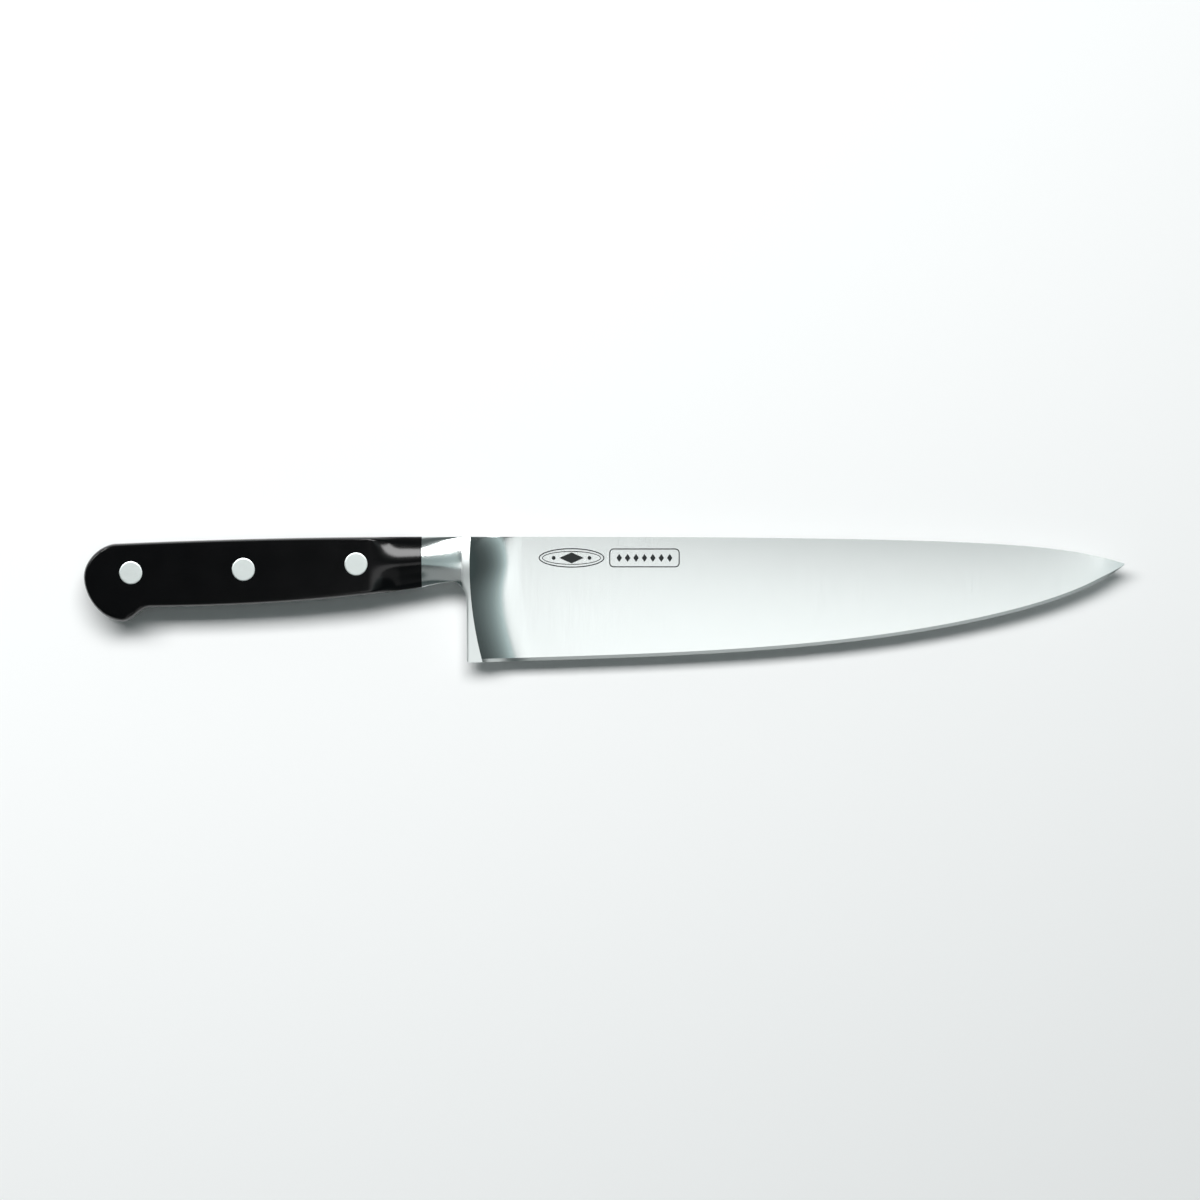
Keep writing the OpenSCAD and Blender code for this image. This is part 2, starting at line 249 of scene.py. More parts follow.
def bolster_half(x, y):
    share = 1 - (1 - clamp01((x - JOINT_X) / (-JOINT_X - LIP_LEN))) ** TAPER_POWER
    v = (y - CROWN_Y) / -CROWN_Y
    fall = mix(CROWN_FALL, HEEL_FALL, share) * (v * v if v > 0 else fall_below(-v))
    border_h = mix(JOINT_BORDER_H, RIDGE_BORDER_H, share)
    along = max(0, x + CHOIL_W) / CHOIL_W
    neck_line = neck_y(x) + NECK_DEPTH if x < -CHOIL_W else 0
    up = max(0, y - neck_line - CHOIL_Y) / CHOIL_H
    turn = along / (along + up + NEVER_ZERO)
    inset = (math.hypot(along, up) - 1) * mix(CHOIL_H, CHOIL_W, turn)
    lower_w = mix(JOINT_BORDER_W, CHOIL_BORDER_W, turn)
    lower_h = mix(border_h, CHOIL_BORDER_H, turn)
    half = mix(JOINT_HALF, RIDGE_HALF, share) - fall
    upper_w = mix(JOINT_BORDER_W, RIDGE_BORDER_W, share)
    return half - border_fall(-y, upper_w, border_h) - border_fall(inset, lower_w, lower_h)


def flank_half(x, y, shoulder):
    depth = spine_y(x) - shoulder
    top_half = min(mix(SPINE_HALF, POINT_HALF, x / BLADE_LEN), SHOULDER_HALF + TIP_WEDGE * depth)
    return mix(top_half, SHOULDER_HALF, clamp01((spine_y(x) - y) / depth))


print("thickness at the ridge", 2 * round(bolster_half(0, CROWN_Y), 2), "mm")

# %% [markdown]
# ## The shape of the handle
#
# The handle's outline is a back line and a belly line with a middle line between them. The butt
# is rounded a little straighter than an ellipse, and the hook that keeps the hand from slipping
# off swells out of the belly along half a cosine wave.

# %% Outline and thickness of the handle
BACK_FALL, BELLY_DEPTH = 3.2, 26.9
HOOK_H, HOOK_W, HOOK_BACK, BUTT_W = 5.3, 10.5, 14.8, 12.2
HOOK_X = BUTT_X + HOOK_BACK
BUTT_POWER, GRIP_POWER = 1.85, 2.6
BORDER_W = 1.2
front_low, front_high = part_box("rivet_post_front")
FRONT_RIVET_X = to_mm((front_low.x + front_high.x) / 2 - heel.x)
HEAD_R = to_mm(front_high.x - front_low.x) / 2
# The sides are flat up to just ahead of the front rivet, and the last stretch is a true oval
OVAL_BACK_X = FRONT_RIVET_X + HEAD_R + 0.2
OVAL_FRONT_X = JOINT_X - 8


def handle_share(x):
    return clamp01((x - JOINT_X) / (BUTT_X - JOINT_X))


def back_y(x):
    return -BACK_FALL * handle_share(x) ** 2


def handle_belly_y(x):
    return -mix(BELLY_DEPTH, JOINT_DEPTH, (1 - handle_share(x)) ** GRIP_POWER)


def middle_y(x):
    return (back_y(x) + handle_belly_y(x)) / 2


def hook_turn(x):
    return math.pi * clamp01((x - HOOK_X) / HOOK_W)


def rounding(share):
    return max(0.0, 1 - share ** BUTT_POWER) ** (1 / BUTT_POWER)


def half_depth(x, upper):
    if upper:
        return back_y(x) - middle_y(x)
    return middle_y(x) - handle_belly_y(x) + HOOK_H * (1 + math.cos(hook_turn(x))) / 2


def into_butt(x, upper):
    length = BUTT_W if upper else HOOK_BACK
    return clamp01((BUTT_X + length - x) / length)


def fan_y(x, v):
    """The height of a point of the handle's side: v is 1 on the back and -1 on the belly."""
    return middle_y(x) + v * half_depth(x, v > 0) * rounding(into_butt(x, v > 0))


def fan_inset(x, v):
    """Its distance from the outline."""
    lean = 0 if v > 0 else HOOK_H / 2 * math.sin(hook_turn(x)) * math.pi / HOOK_W
    out = rounding(rounding(into_butt(x, v > 0)) * rounding(abs(v)))
    return half_depth(x, v > 0) * (1 - out) / math.hypot(1, lean)


def scale_half(x, v):
    """Half the handle's thickness: flat sides that turn to the bolster's oval at the front."""
    oval = soft((x - OVAL_BACK_X) / (OVAL_FRONT_X - OVAL_BACK_X))
    fall = CROWN_FALL * (v * v if v > 0 else fall_below(-v))
    width = mix(BORDER_W, JOINT_BORDER_W, oval)
    height = mix(HALF_HANDLE - RIM_HALF, JOINT_BORDER_H, oval)
    return mix(HALF_HANDLE, JOINT_HALF - fall, oval) - border_fall(fan_inset(x, v), width, height)


print("handle depth at the front rivet", round(2 * half_depth(FRONT_RIVET_X, True), 1), "mm")

# %% [markdown]
# ## Columns and rows
#
# One side of the forging is a flat grid whose points are then moved into place, like cloth laid
# over a form. Columns are close where the shape turns fast: round the butt, in the corner behind
# the heel, across the ridge and at the point. Rows are close at the rims.


# %% Lay out the columns and the rows
def steps(low, high, count):
    """Evenly spaced values after low, up to and with high."""
    return [mix(low, high, (i + 1) / count) for i in range(count)]


BUTT_STEPS, HOOK_STEPS, GRIP_STEPS, OVAL_STEPS, END_STEPS = 28, 18, 24, 26, 8
NECK_STEPS, CORNER_STEPS, HOLLOW_STEPS, FLANK_STEPS = 16, 20, 28, 64
RIDGE_SHARES = (0.05, 0.1, HEEL_R / GUARD_W, 0.3, 0.45, 0.65, 0.85, 1)
POINT_CROWDING = 1.5
handle_xs = [BUTT_X + HOOK_BACK * (1 - math.cos(a)) for a in [0] + steps(0, math.pi / 2, BUTT_STEPS)]
handle_xs += steps(HOOK_X, HOOK_X + HOOK_W, HOOK_STEPS)
handle_xs += steps(HOOK_X + HOOK_W, OVAL_BACK_X, GRIP_STEPS)
handle_xs += steps(OVAL_BACK_X, OVAL_FRONT_X, OVAL_STEPS)
handle_xs += steps(OVAL_FRONT_X, JOINT_X, END_STEPS)

# Each blade column is a share of the ridge's own place plus a fixed length
blade_cols = [(0, JOINT_X)] + [(0, x) for x in steps(JOINT_X, -CHOIL_W, NECK_STEPS)]
blade_cols += [(0, CHOIL_W * (math.sin(a) - 1)) for a in steps(0, math.pi / 2, CORNER_STEPS)]
HEEL_COL = len(handle_xs) + len(blade_cols) - 1
blade_cols += [(share, 0) for share in RIDGE_SHARES]
RIDGE_COL = len(handle_xs) + len(blade_cols) - 1
hollow_end = GRIND_LEN / BLADE_LEN
ahead = steps(0, hollow_end, HOLLOW_STEPS)
ahead += [mix(1, hollow_end, (1 - share) ** POINT_CROWDING) for share in steps(0, 1, FLANK_STEPS)]
blade_cols += [(1 - share, share * BLADE_LEN) for share in ahead]
LAST_COL = len(handle_xs) + len(blade_cols) - 1

NECK_ROWS, GUARD_ROWS = 44, 22
LAST_ROW = NECK_ROWS + GUARD_ROWS + 1
print("columns", LAST_COL + 1, "rows", LAST_ROW + 1)

# %% [markdown]
# ## Moving the grid onto the forging
#
# The tang, the bolster and the blade share the grid, because they are one piece of steel. The
# column where the scales end is there twice: once on the tang and once on the bolster's wide
# rear face, and the strip between the two is that face.


# %% Where a grid point goes
# Points that are closer than this are one point
WELD = 0.0002


def split_y(x):
    """The row line that starts at the corner behind the heel and runs along the blade."""
    return neck_y(x) if x <= 0 else mix(spine_y(x), belly_y(x), -CHOIL_Y / BLADE_DEPTH)


def shoulder_y(x):
    return edge_y(x) + min(BEVEL_W, BEVEL_SHARE * (split_y(x) - edge_y(x)))


def row_y(x, row):
    if row <= NECK_ROWS:
        return mix(spine_y(x), split_y(x), (1 - math.cos(math.pi * row / NECK_ROWS)) / 2)
    if row < LAST_ROW:
        return mix(split_y(x), shoulder_y(x), (row - NECK_ROWS) / GUARD_ROWS)
    return edge_y(x)


def blade_point(share, length, row):
    ridge = ridge_x(row_y(share * RIDGE_W + length, row))
    x = share * ridge + length
    y = row_y(x, row)
    if x <= ridge + WELD:
        return x, y, bolster_half(x, y)
    left = 1 - clamp01((x - ridge) / GRIND_LEN)
    if row == LAST_ROW:
        return x, y, mix(EDGE_HALF, bolster_half(ridge, y), left ** EDGE_POWER)
    return x, y, mix(flank_half(x, y, shoulder_y(x)), bolster_half(ridge, y), left ** HOLLOW_POWER)


def forging_point(col, row):
    if col >= len(handle_xs):
        return blade_point(*blade_cols[col - len(handle_xs)], row)
    x = handle_xs[col]
    return x, fan_y(x, math.cos(math.pi * min(row, NECK_ROWS) / NECK_ROWS)), HALF_TANG


print("top of the ridge", [round(value, 2) for value in forging_point(RIDGE_COL, 0)], "mm")

# %% [markdown]
# ## From a grid to a closed piece
#
# `create_grid` gives the sheet. Its points carry their column and row as coordinates until they
# are moved. The rim is then extruded down to the middle plane and the half is mirrored, which
# closes the piece with the same care on both sides. Faces are shaded smooth, and only real
# creases are marked sharp.


# %% Helpers that make a grid and finish a piece
CREASE_DEGREES = 32


def numbered_grid(columns, rows):
    """A flat grid whose points' x and y are their column and row numbers."""
    bm = bmesh.new()
    size = Matrix.Diagonal((columns, rows, 1, 1)) @ Matrix.Translation((0.5, 0.5, 0))
    bmesh.ops.create_grid(bm, x_segments=columns, y_segments=rows, size=0.5, matrix=size)
    return bm


def weld(bm):
    bmesh.ops.remove_doubles(bm, verts=bm.verts, dist=WELD)
    bmesh.ops.dissolve_degenerate(bm, edges=bm.edges, dist=WELD / 10)


def rim_edges(bm):
    return [edge for edge in bm.edges if edge.is_boundary]


def mark_creases(bm, degrees=CREASE_DEGREES):
    """Smooth faces, with edges sharp where the surface turns by more than an angle."""
    for face in bm.faces:
        face.smooth = True
    for edge in bm.edges:
        if edge.is_manifold and edge.calc_face_angle() > math.radians(degrees):
            edge.smooth = False


def to_piece(bm, name, materials):
    """Makes the object, in metres and in the row frame, and lets the bmesh go."""
    bmesh.ops.transform(bm, matrix=Matrix.Translation(heel) @ Matrix.Scale(MM, 4), verts=bm.verts)
    mesh = bpy.data.meshes.new(name)
    bm.to_mesh(mesh)
    bm.free()
    for material in materials:
        mesh.materials.append(material)
    piece = bpy.data.objects.new(name, mesh)
    bpy.context.scene.collection.objects.link(piece)
    print(name, len(mesh.polygons), "faces")
    return piece


# %% [markdown]
# ## Steel finishes
#
# Knife steel is a martensitic stainless steel. The flanks are ground across the blade and then
# polished, so they mirror softly with very fine lines from spine to edge. The bolster and the
# guard are belt-finished and buffed, a little softer. The bevel is the fresh cut of a stone.
# Metal takes its colour from what it mirrors, so only roughness and tiny relief set them apart.


# %% Materials for the forging
X_AXIS, Y_AXIS = 0, 1
LINE_STRETCH = 40
LINE_DEPTH = 0.01 * MM
# The bolster's lip is duller: from the first place, fully from the second, by this roughness
LIP_SATIN = (heel.x - 2.4 * MM, heel.x - 0.8 * MM, 0.32)


def lined_steel(name, colour, roughness, spread, line_mm, along, relief, satin=None):
    """Steel with fine lines left by an abrasive, drawn out along one axis of the piece."""
    material, shader = new_material(name)
    tree = material.node_tree
    shader.inputs["Base Color"].default_value = linear(colour)
    shader.inputs["Metallic"].default_value = 1
    place = add_node(tree, "ShaderNodeTexCoord")
    across = [1 / (line_mm * MM)] * 3
    across[along] = 1 / (LINE_STRETCH * line_mm * MM)
    scaled = add_node(tree, "ShaderNodeMapping", inputs={"Scale": across},
                      links={"Vector": place.outputs["Object"]})
    lines = add_node(tree, "ShaderNodeTexNoise", inputs={"Scale": 1, "Detail": 3},
                     links={"Vector": scaled.outputs["Vector"]})
    rough = add_node(tree, "ShaderNodeMapRange",
                     inputs={"To Min": roughness - spread, "To Max": roughness + spread},
                     links={"Value": lines.outputs["Fac"]})
    bump = add_node(tree, "ShaderNodeBump", inputs={"Strength": relief, "Distance": LINE_DEPTH},
                    links={"Height": lines.outputs["Fac"]})
    finish = rough.outputs["Result"]
    if satin:
        first, full, duller = satin
        apart = add_node(tree, "ShaderNodeSeparateXYZ", links={"Vector": place.outputs["Object"]})
        added = add_node(tree, "ShaderNodeMapRange", {"interpolation_type": "SMOOTHSTEP"},
                         {"From Min": first, "From Max": full, "To Max": duller},
                         {"Value": apart.outputs["X"]})
        total = add_node(tree, "ShaderNodeMath", links={0: finish, 1: added.outputs["Result"]})
        finish = total.outputs["Value"]
    tree.links.new(finish, shader.inputs["Roughness"])
    tree.links.new(bump.outputs["Normal"], shader.inputs["Normal"])
    print(name, "roughness", roughness)
    return material


polished_flank = lined_steel("steel_ground_and_polished", "#d7dcdb", 0.135, 0.02, 0.35, Y_AXIS, 0.06)
buffed_bolster = lined_steel("steel_belt_finished", "#d3d8d7", 0.16, 0.02, 0.3, Y_AXIS, 0.1, LIP_SATIN)
stoned_edge = lined_steel("steel_edge_from_the_stone", "#c9cecd", 0.34, 0.05, 0.25, Y_AXIS, 0.25)
cut_steel = lined_steel("steel_linished_rims", "#cdd2d1", 0.28, 0.05, 0.25, X_AXIS, 0.2)

# %% [markdown]
# ## The forging
#
# Grid cells below the neck and behind the heel are deleted before the points move, so that the
# corner behind the heel is there from the start. The side faces get their finish by where they
# lie in the grid. The ridge and the bevel's upper line turn too little to be found by their
# angle, so they are remembered as seams until the creases are marked.

# %% Lay out one side of the forging
BOLSTER, FLANK, EDGE, RIM = range(4)


def finish_of(col, row):
    if col > RIDGE_COL:
        return EDGE if row > LAST_ROW - 1 else FLANK
    return BOLSTER if col > len(handle_xs) - 1 else RIM


forging = numbered_grid(LAST_COL, LAST_ROW)
open_corner = []
for face in forging.faces:
    middle = face.calc_center_median()
    face.material_index = finish_of(middle.x, middle.y)
    if middle.x < HEEL_COL and middle.y > NECK_ROWS:
        open_corner.append(face)
bmesh.ops.delete(forging, geom=open_corner, context="FACES")
for edge in forging.edges:
    cols = [round(vert.co.x) for vert in edge.verts]
    rows = [round(vert.co.y) for vert in edge.verts]
    on_ridge = cols == [RIDGE_COL, RIDGE_COL]
    on_shoulder = rows == [LAST_ROW - 1] * 2 and min(cols) >= RIDGE_COL
    edge.seam = on_ridge or on_shoulder
for vert in forging.verts:
    vert.co = forging_point(round(vert.co.x), round(vert.co.y))
weld(forging)
print("one side has", len(forging.faces), "faces")

# %% Close the forging and shade it
rim = bmesh.ops.extrude_edge_only(forging, edges=rim_edges(forging))["geom"]
for vert in rim:
    if isinstance(vert, bmesh.types.BMVert):
        vert.co.z = 0
for face in rim:
    if isinstance(face, bmesh.types.BMFace):
        face.material_index = RIM
bmesh.ops.mirror(forging, geom=forging.verts[:] + forging.edges[:] + forging.faces[:],
                 axis="Z", merge_dist=WELD)
bmesh.ops.recalc_face_normals(forging, faces=forging.faces)
mark_creases(forging)
for edge in forging.edges:
    if edge.seam:
        edge.smooth = False
        edge.seam = False
blade = to_piece(forging, "blade_forging", [buffed_bolster, polished_flank, stoned_edge, cut_steel])
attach(blade, "root")
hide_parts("blade")

# %% [markdown]
# ## The black scales
#
# Handle scales of this kind are acetal, a hard and slightly waxy black plastic. They are moulded
# a little over size, riveted to the tang and then ground and polished with it, so plastic and
# steel meet without a step. Polished acetal has a soft gloss, with the faintest ripple.


# %% Material for the scales
def polished_acetal():
    material, shader = new_material("acetal_black_polished")
    tree = material.node_tree
    shader.inputs["Base Color"].default_value = linear("#040405")
    shader.inputs["IOR"].default_value = 1.42
    place = add_node(tree, "ShaderNodeTexCoord")
    haze = add_node(tree, "ShaderNodeTexNoise", inputs={"Scale": 1 / (9 * MM), "Detail": 4},
                    links={"Vector": place.outputs["Object"]})
    rough = add_node(tree, "ShaderNodeMapRange", inputs={"To Min": 0.12, "To Max": 0.18},
                     links={"Value": haze.outputs["Fac"]})
    grain = add_node(tree, "ShaderNodeTexNoise", inputs={"Scale": 1 / (0.5 * MM), "Detail": 2},
                     links={"Vector": place.outputs["Object"]})
    bump = add_node(tree, "ShaderNodeBump", inputs={"Strength": 0.08, "Distance": 0.02 * MM},
                    links={"Height": grain.outputs["Fac"]})
    tree.links.new(rough.outputs["Result"], shader.inputs["Roughness"])
    tree.links.new(bump.outputs["Normal"], shader.inputs["Normal"])
    return material


acetal = polished_acetal()
print("scales of", acetal.name)

# %% [markdown]
# ## Building the scales
#
# A scale is the same kind of moved grid. Its rim is extruded straight down to the tang, and the
# hole that is left is filled with the flat inner face. The counterbores are cut with a Boolean
# modifier, because a round hole in a flat side is exactly what it does well.

# %% Rivet places and a cutter for the rivet holes
HEAD_H = 2.0
SLEEVE_R, POST_R = 2.5, 1.6
HEAD_GAP, SLEEVE_GAP, POST_GAP, END_GAP = 0.05, 0.1, 0.02, 0.8
OVERCUT = 1
ROUND_STEPS = 96
rivet_places = {}
for place_name in ("front", "middle", "rear"):
    low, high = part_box("rivet_post_" + place_name)
    centre = ((low + high) / 2 - heel) / MM
    rivet_places[place_name] = (centre.x, centre.y)
print("rivets", {name: (round(x, 1), round(y, 1)) for name, (x, y) in rivet_places.items()})


def add_round(bm, radius, low, high, x, y):
    place = Matrix.Translation((x, y, (low + high) / 2))
    bmesh.ops.create_cone(bm, cap_ends=True, segments=ROUND_STEPS, radius1=radius, radius2=radius,
                          depth=high - low, matrix=place)


def carve(piece, radius, low, high):
    """Cuts a round hole at every rivet, between two heights."""
    bm = bmesh.new()
    for x, y in rivet_places.values():
        add_round(bm, radius, low, high, x, y)
    cutter = to_piece(bm, "cutter", [])
    cut = piece.modifiers.new("cut", "BOOLEAN")
    cut.operation = "DIFFERENCE"
    cut.solver = "EXACT"
    cut.object = cutter
    bpy.context.view_layer.update()
    result = piece.evaluated_get(bpy.context.evaluated_depsgraph_get())
    carved = bpy.data.meshes.new_from_object(result)
    carved.name = piece.name
    piece.modifiers.remove(cut)
    piece.data = carved
    bpy.data.objects.remove(cutter)


def sharpen(piece):
    """Marks the creases of a finished mesh."""
    bm = bmesh.new()
    bm.from_mesh(piece.data)
    mark_creases(bm)
    bm.to_mesh(piece.data)
    bm.free()


# %% Build both scales
FAN_ROWS = 44


def build_scale(name, side):
    bm = numbered_grid(len(handle_xs) - 1, FAN_ROWS)
    for vert in bm.verts:
        x = handle_xs[round(vert.co.x)]
        v = math.cos(math.pi * round(vert.co.y) / FAN_ROWS)
        vert.co = (min(x, JOINT_X - JOINT_GAP), fan_y(x, v), scale_half(x, v))
    weld(bm)
    walls = bmesh.ops.extrude_edge_only(bm, edges=rim_edges(bm))["geom"]
    for vert in walls:
        if isinstance(vert, bmesh.types.BMVert):
            vert.co.z = HALF_TANG
    bmesh.ops.holes_fill(bm, edges=rim_edges(bm), sides=0)
    bmesh.ops.scale(bm, vec=(1, 1, side), verts=bm.verts)
    bmesh.ops.recalc_face_normals(bm, faces=bm.faces)
    return to_piece(bm, name, [acetal])


def carve_side(scale, side, radius, inner, outer):
    carve(scale, radius, *sorted((side * inner, side * outer)))


for side_name, side in (("left", -1), ("right", 1)):
    scale = build_scale(side_name + "_handle_scale", side)
    carve_side(scale, side, HEAD_R + HEAD_GAP, HALF_HANDLE - HEAD_H, HALF_HANDLE + OVERCUT)
    carve_side(scale, side, SLEEVE_R + SLEEVE_GAP, HALF_TANG - OVERCUT, HALF_HANDLE - HEAD_H / 2)
    sharpen(scale)
    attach(scale, "root")
    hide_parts(side_name + "_scale")

carve(blade, SLEEVE_R + SLEEVE_GAP, -HALF_TANG - OVERCUT, HALF_TANG + OVERCUT)
sharpen(blade)

# %% [markdown]
# ## The rivets
#
# Knife handles are held by cutler's rivets: a post with a head is pressed into a sleeve with a
# head, and both heads are ground flush with the scales. Each half is a turned part, so it is a
# profile spun about its axis. The grinding belt runs along the handle and leaves fine lines.

# %% Material for the rivets
rivet_steel = lined_steel("stainless_rivet_ground_flush", "#d3dad8", 0.36, 0.06, 0.2, X_AXIS, 0.3)

# %% Spin the rivets
RIM_EASE, RIM_DROP = 0.3, 0.05
TURNED_CREASE_DEGREES = 6
SPIN_WELD = 0.001


def spun(profile, name, x, y, side):
    """A turned piece from pairs of radius and height that start and end on the axis."""
    bm = bmesh.new()
    verts = [bm.verts.new((radius, 0, side * height)) for radius, height in profile]
    edges = [bm.edges.new(pair) for pair in zip(verts, verts[1:])]
    bmesh.ops.spin(bm, geom=verts + edges, cent=(0, 0, 0), axis=(0, 0, 1), angle=2 * math.pi,
                   steps=ROUND_STEPS, use_merge=True)
    bmesh.ops.remove_doubles(bm, verts=bm.verts, dist=SPIN_WELD)
    bmesh.ops.translate(bm, vec=(x, y, 0), verts=bm.verts)
    bmesh.ops.recalc_face_normals(bm, faces=bm.faces)
    mark_creases(bm, TURNED_CREASE_DEGREES)
    piece = to_piece(bm, name, [rivet_steel])
    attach(piece, "root")
    return piece


top = HALF_HANDLE
neck = top - HEAD_H
end = HEAD_H + END_GAP - top
bore_r = POST_R + POST_GAP
head = [(0, top), (HEAD_R - RIM_EASE, top), (HEAD_R, top - RIM_DROP), (HEAD_R, neck)]
post_profile = head + [(POST_R, neck), (POST_R, end), (0, end)]
sleeve_profile = head + [(SLEEVE_R, neck), (SLEEVE_R, end), (bore_r, end), (bore_r, neck), (0, neck)]
for place_name, (x, y) in rivet_places.items():
    post = spun(post_profile, "rivet_post_" + place_name + "_turned", x, y, -1)
    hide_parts("rivet_post_" + place_name)
    sleeve = spun(sleeve_profile, "rivet_sleeve_" + place_name + "_turned", x, y, 1)
    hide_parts("rivet_sleeve_" + place_name)

# %% [markdown]
# ## The etched marks
#
# Knives carry a mark near the heel, bitten into the polished flank with acid and darkened by
# its oxide. This knife gets plain ornament in that place: an oval ring round a diamond, and a
# frame round a row of diamonds. Each shape is a flat face, hollowed out where it is a line,
# given a little thickness and laid on the flank, where it stands a hundredth of a millimetre
# proud. A real mark is bitten in, but a raised one leaves the forging's mesh whole.

# %% Material for the marks
def etched_oxide():
    material, shader = new_material("etched_oxide_dark")
    tree = material.node_tree
    shader.inputs["Metallic"].default_value = 0.6
    place = add_node(tree, "ShaderNodeTexCoord")
    grit = add_node(tree, "ShaderNodeTexNoise", inputs={"Scale": 1 / (0.15 * MM), "Detail": 2},
                    links={"Vector": place.outputs["Object"]})
    shade = add_node(tree, "ShaderNodeValToRGB", links={"Fac": grit.outputs["Fac"]})
    shade.color_ramp.elements[0].color = linear("#191c1d")
    shade.color_ramp.elements[1].color = linear("#2f3435")
    rough = add_node(tree, "ShaderNodeMapRange", inputs={"To Min": 0.5, "To Max": 0.7},
                     links={"Value": grit.outputs["Fac"]})
    tree.links.new(shade.outputs["Color"], shader.inputs["Base Color"])
    tree.links.new(rough.outputs["Result"], shader.inputs["Roughness"])
    return material


oxide = etched_oxide()
print("marks of", oxide.name)

# %% Sizes of the marks and helpers that draw them
MARK_LINE = 0.42
MARK_T, MARK_PROUD = 0.1, 0.01
MARK_Y = -8.0
DIAMOND, DOT = 4, 24
RING_X, RING_W, RING_H = 39.8, 25, 7.4
INNER_W, INNER_H, INNER_LINE = 22.4, 5.2, 0.7 * MARK_LINE
EMBLEM_W, EMBLEM_H = 9.4, 4.2
DOT_AWAY, DOT_D = 6.8, 1.5
BOX_X, BOX_W, BOX_H, BOX_R = 67.5, 26.8, 7.2, 1.7
BEADS, BEAD_PITCH, BEAD_W, BEAD_H = 7, 3.2, 2.1, 3.1


def at_mark(x, y, wide=1, high=1):
    return Matrix.Translation((x, y, 0)) @ Matrix.Diagonal((wide, high, 1, 1))


def add_disc(bm, corners, x, y, width, height):
    """A flat face with some number of corners, as wide and high as given."""
    verts = bmesh.ops.create_circle(bm, cap_ends=True, segments=corners, radius=0.5,
                                    matrix=at_mark(x, y, width, height))["verts"]
    return verts[0].link_faces[0]


def add_frame(bm, x, y, width, height, radius):
    verts = bmesh.ops.create_grid(bm, x_segments=1, y_segments=1, size=0.5,
                                  matrix=at_mark(x, y, width, height))["verts"]
    rounded = bmesh.ops.bevel(bm, geom=verts, offset=radius, affect="VERTICES", segments=10,
                              profile=0.5, material=-1)
    return max(rounded["verts"][0].link_faces, key=lambda face: face.calc_area())


def hollow_out(bm, face, line):
    """Leaves only a line of a face's outline."""
    bmesh.ops.inset_region(bm, faces=[face], thickness=line, use_boundary=True, use_even_offset=True)
    bmesh.ops.delete(bm, geom=[face], context="FACES")


print("ring", RING_W, "by", RING_H, "mm, frame", BOX_W, "by", BOX_H, "mm")

# %% Cut the marks and lay them on the flank
marks = bmesh.new()
hollow_out(marks, add_disc(marks, ROUND_STEPS, RING_X, MARK_Y, RING_W, RING_H), MARK_LINE)
hollow_out(marks, add_disc(marks, ROUND_STEPS, RING_X, MARK_Y, INNER_W, INNER_H), INNER_LINE)
add_disc(marks, DIAMOND, RING_X, MARK_Y, EMBLEM_W, EMBLEM_H)
for away in (-DOT_AWAY, DOT_AWAY):
    add_disc(marks, DOT, RING_X + away, MARK_Y, DOT_D, DOT_D)
hollow_out(marks, add_frame(marks, BOX_X, MARK_Y, BOX_W, BOX_H, BOX_R), MARK_LINE)
for i in range(BEADS):
    add_disc(marks, DIAMOND, BOX_X + BEAD_PITCH * (i - (BEADS - 1) / 2), MARK_Y, BEAD_W, BEAD_H)
bmesh.ops.solidify(marks, geom=marks.faces[:], thickness=MARK_T)
top_z = max(vert.co.z for vert in marks.verts)
for vert in marks.verts:
    x, y, z = vert.co
    vert.co.z = flank_half(x, y, shoulder_y(x)) + MARK_PROUD + z - top_z
bmesh.ops.recalc_face_normals(marks, faces=marks.faces)
etching = to_piece(marks, "etched_marks", [oxide])
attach(etching, "root")

# %% [markdown]
# ## The floor
#
# The floor stands for a product studio's white paper sweep. It is one large sheet with a matte
# finish, so it shows nothing but the knife's soft shadow. Floor and lights are only the stage,
# and don't belong to the knife.


# %% Lay out the floor
FLOOR_HALF = 4


def flat_sheet(name, corners, material):
    """One flat face with its own material."""
    bm = bmesh.new()
    bm.faces.new([bm.verts.new(corner) for corner in corners])
    mesh = bpy.data.meshes.new(name)
    bm.to_mesh(mesh)
    bm.free()
    mesh.materials.append(material)
    sheet = bpy.data.objects.new(name, mesh)
    bpy.context.scene.collection.objects.link(sheet)
    return sheet


def matte_floor():
    material, shader = new_material("floor_white_matte")
    shader.inputs["Base Color"].default_value = linear("#f4f5f5")
    shader.inputs["Roughness"].default_value = 0.9
    return material


turns = ((-1, -1), (1, -1), (1, 1), (-1, 1))
floor = flat_sheet("floor", [(x * FLOOR_HALF, y * FLOOR_HALF, 0) for x, y in turns], matte_floor())
print("floor", [round(side, 1) for side in floor.dimensions], "m")

# %% [markdown]
# ## The panels
#
# Polished steel shows its lights more than itself, so each panel has one job. The panel high
# over the blade is what the flank mirrors, and it stops short of the handle, so that the black
# plastic stays black. The strong panel behind the spine lights the floor and the rivets, draws
# the band on the bolster and throws the shadow towards the edge. The dim panel before the edge
# is for the faces that lean that way. A panel is given by how bright its face is in a mirror,
# and its power follows from that and from its size.


# %% Hang the panels
OVER_BLADE_TURN = math.radians(4)


def panel_light(name, centre, aim, width, depth, radiance):
    """A soft panel, placed and aimed in metres from the back of the heel."""
    lamp = bpy.data.lights.new(name, "AREA")
    lamp.shape = "RECTANGLE"
    lamp.size = width
    lamp.size_y = depth
    lamp.energy = radiance * math.pi * width * depth
    panel = bpy.data.objects.new(name, lamp)
    panel.location = heel + Vector(centre)
    panel.rotation_mode = "QUATERNION"
    towards = (heel + Vector(aim)) - (heel + Vector(centre))
    panel.rotation_quaternion = towards.to_track_quat("-Z", "Y")
    bpy.context.scene.collection.objects.link(panel)
    print(name, round(lamp.energy, 2), "W")
    return panel


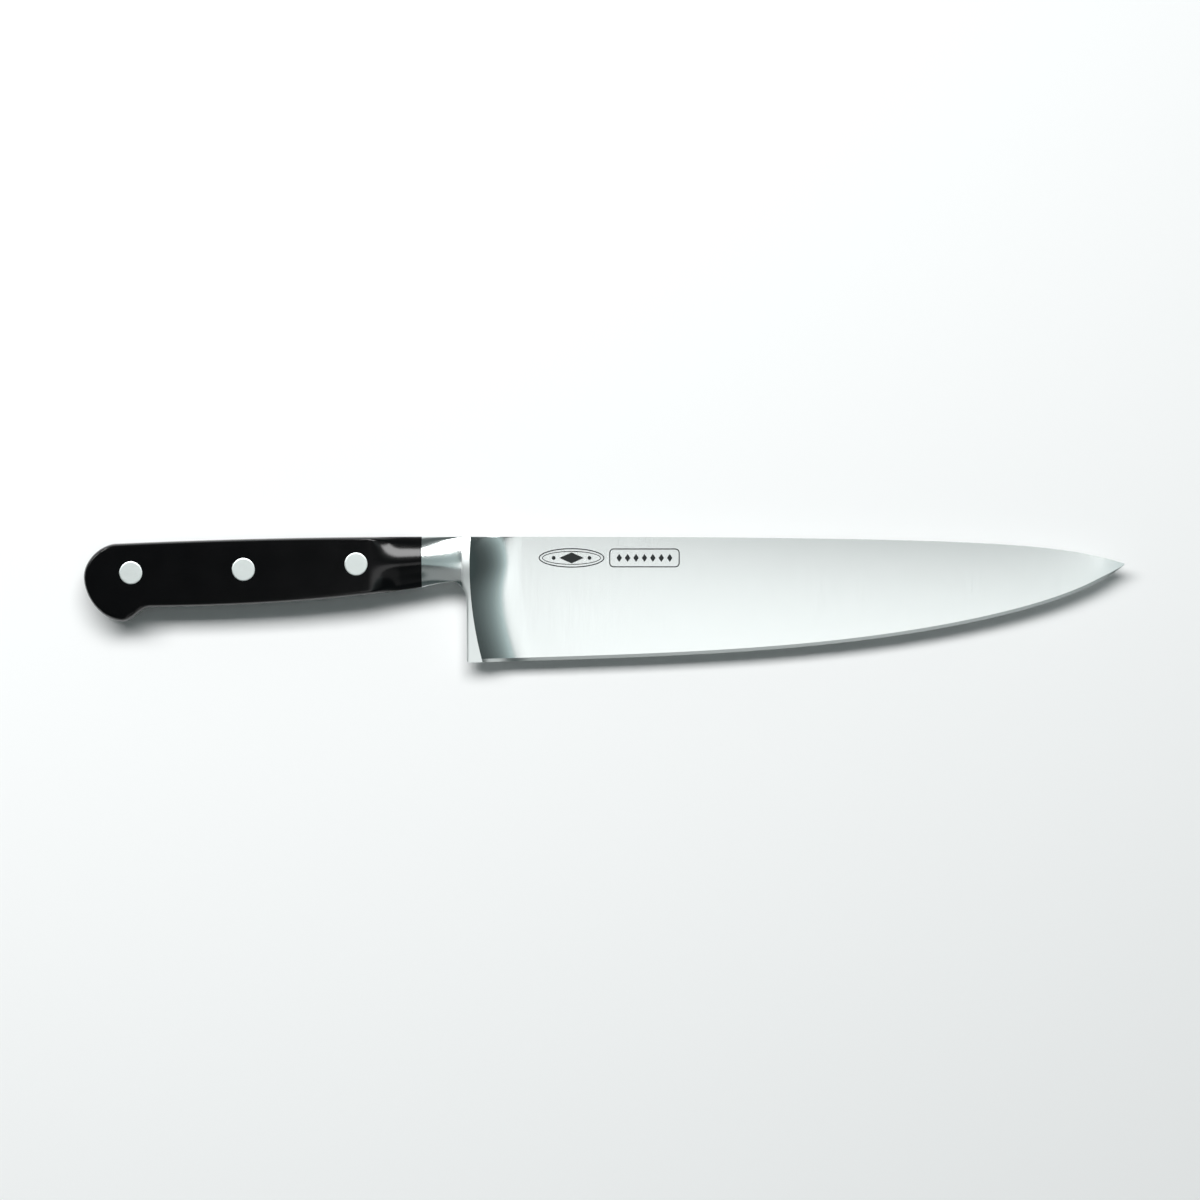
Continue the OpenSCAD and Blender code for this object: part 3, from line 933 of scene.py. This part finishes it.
over_blade = panel_light("panel_over_the_blade", (0.235, -0.314, 2.3), (0.235, -0.314, 0),
                         width=0.67, depth=0.522, radiance=1.53)
over_blade.rotation_quaternion.rotate(Quaternion((0, 0, 1), OVER_BLADE_TURN))
panel_light("panel_behind_the_spine", (-0.40, 0.67, 1.34), (-0.40, 0, 0),
            width=1.76, depth=0.5, radiance=11.2)
panel_light("dim_panel_before_the_edge", (0.24, -0.73, 1.31), (0.24, 0, 0),
            width=0.42, depth=0.7, radiance=0.3)

# %% [markdown]
# ## The veil
#
# The hollow ahead of the bolster leans towards the point, and the closer to the ridge, the more.
# So it mirrors what hangs beyond the point. A sheet that glows less and less in that direction
# makes the hollow darken smoothly towards the ridge. A panel's light is the same all over, so
# this one is a mesh whose glow follows a colour ramp along X.


# %% Hang the veil
VEIL_STOPS = ((0.575, 1.0), (0.63, 0.78), (0.72, 0.53), (0.9, 0.31), (1.15, 0.18), (1.4, 0.11),
              (1.8, 0.075))
VEIL_Y, VEIL_Z = (-0.7, 0.6), 2.3
VEIL_RED = 0.82
veil_low, veil_high = VEIL_STOPS[0][0], VEIL_STOPS[-1][0]


def set_stops(ramp, stops):
    """Gives a colour ramp a stop for each pair of a position and a colour."""
    elements = ramp.color_ramp.elements
    for position, _ in stops[1:-1]:
        elements.new(position)
    for element, (position, colour) in zip(elements, stops):
        element.position = position
        element.color = (*colour, 1)


def fading_glow():
    """Light that fades from the panel over the blade away beyond the point."""
    material = bpy.data.materials.new("fading_veil")
    material.use_nodes = True
    tree = material.node_tree
    tree.nodes.clear()
    place = add_node(tree, "ShaderNodeTexCoord")
    apart = add_node(tree, "ShaderNodeSeparateXYZ", links={"Vector": place.outputs["Object"]})
    across = add_node(tree, "ShaderNodeMapRange",
                      inputs={"From Min": heel.x + veil_low, "From Max": heel.x + veil_high},
                      links={"Value": apart.outputs["X"]})
    fade = add_node(tree, "ShaderNodeValToRGB", links={"Fac": across.outputs["Result"]})
    set_stops(fade, [((x - veil_low) / (veil_high - veil_low), (glow * VEIL_RED, glow, glow))
                     for x, glow in VEIL_STOPS])
    emission = add_node(tree, "ShaderNodeEmission", links={"Color": fade.outputs["Color"]})
    add_node(tree, "ShaderNodeOutputMaterial", links={"Surface": emission.outputs["Emission"]})
    return material


near_y, far_y = VEIL_Y
veil_corners = ((veil_low, near_y), (veil_low, far_y), (veil_high, far_y), (veil_high, near_y))
veil = flat_sheet("veil", [heel + Vector((x, y, VEIL_Z)) for x, y in veil_corners], fading_glow())
print("veil", [round(side, 2) for side in veil.dimensions], "m")

# %% [markdown]
# ## The sky
#
# What mirrors neither a panel nor the floor shows the sky. It is grey at the horizon, where the
# rims look, and nearly black overhead, where the flats of the scales look.

# %% Colour the sky
SKY_STOPS = ((0.0, (0.32, 0.33, 0.33)), (0.3, (0.15, 0.17, 0.17)), (0.7, (0.06, 0.08, 0.08)),
             (1.0, (0.035, 0.045, 0.045)))
world = bpy.data.worlds.new("studio_sky")
bpy.context.scene.world = world
world.use_nodes = True
sky = world.node_tree
direction = add_node(sky, "ShaderNodeTexCoord")
parts = add_node(sky, "ShaderNodeSeparateXYZ", links={"Vector": direction.outputs["Generated"]})
ramp = add_node(sky, "ShaderNodeValToRGB", links={"Fac": parts.outputs["Z"]})
set_stops(ramp, SKY_STOPS)
sky.links.new(ramp.outputs["Color"], sky.nodes["Background"].inputs["Color"])
bpy.context.scene.view_settings.view_transform = "Standard"
print("sky with", len(SKY_STOPS), "stops")
